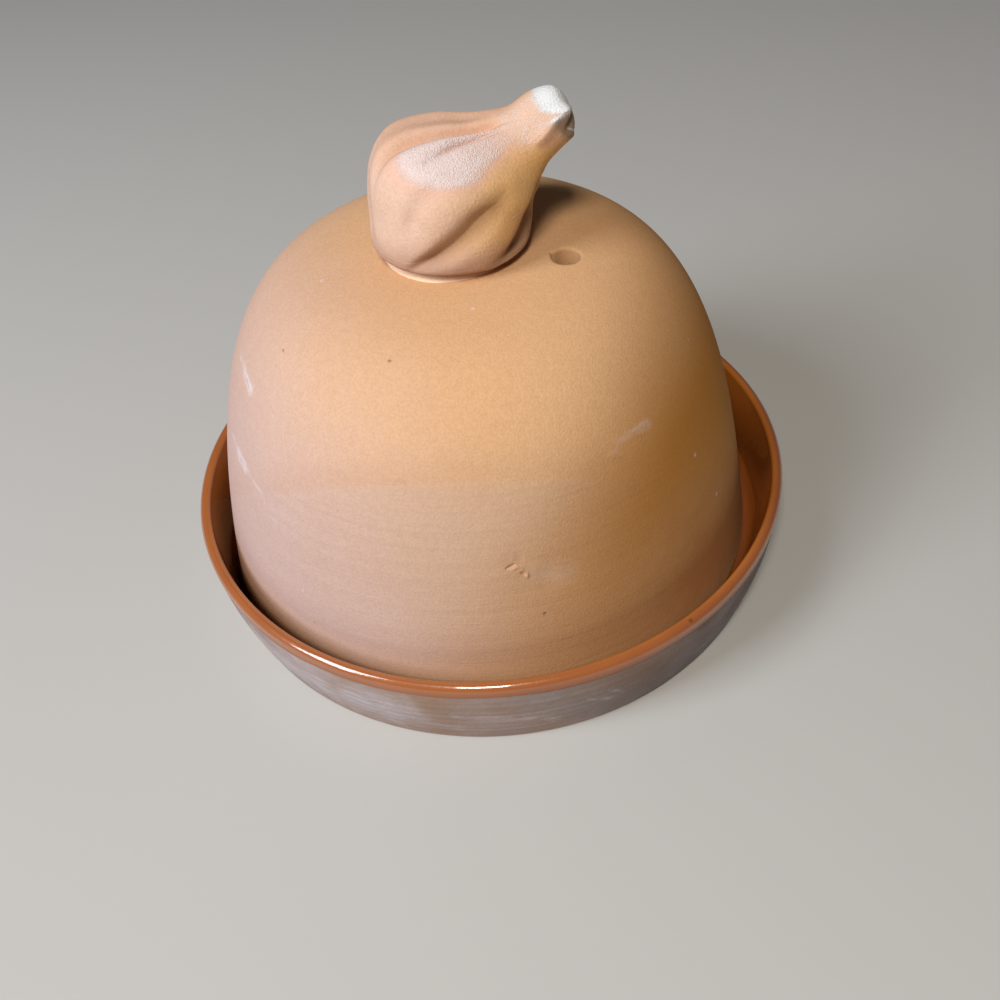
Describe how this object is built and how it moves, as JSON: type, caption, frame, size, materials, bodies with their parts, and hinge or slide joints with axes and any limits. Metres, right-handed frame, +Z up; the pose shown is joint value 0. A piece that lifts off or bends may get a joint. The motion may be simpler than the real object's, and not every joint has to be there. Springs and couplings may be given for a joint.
{
  "type": "garlic roaster",
  "caption": "Terracotta garlic roaster with a glazed round saucer and an unglazed domed lid, vented beside a knob sculpted as a garlic bulb.",
  "frame": {"origin": "centre of the saucer's underside, on the table", "axes": "+Z up along the saucer's axis; +X towards the side that the knob's neck and the lid's vent are on; -Y towards the viewer of the picture"},
  "size_m": [0.158, 0.158, 0.1242],
  "materials": {
    "saucer_clay": "bare fired earthenware, blotchy",
    "amber_glaze": "glossy amber-brown glaze",
    "terracotta": "bare fired earthenware, fine grain, matt",
    "pale_slip": "wiped clay slip, matt",
    "knob_clay": "bare fired earthenware with white chalky powder"
  },
  "bodies": {
    "saucer_body": {"saucer": "saucer_clay", "saucer_glaze": "amber_glaze"},
    "lid_body": {"lid_dome": "terracotta", "knob_slip_joint": "pale_slip", "garlic_knob": "knob_clay"}
  },
  "joints": [
    {"name": "lid_lift", "type": "slide", "parent": "saucer_body", "child": "lid_body", "axis": [0, 0, 1], "range_m": [0, 0.12]}
  ]
}
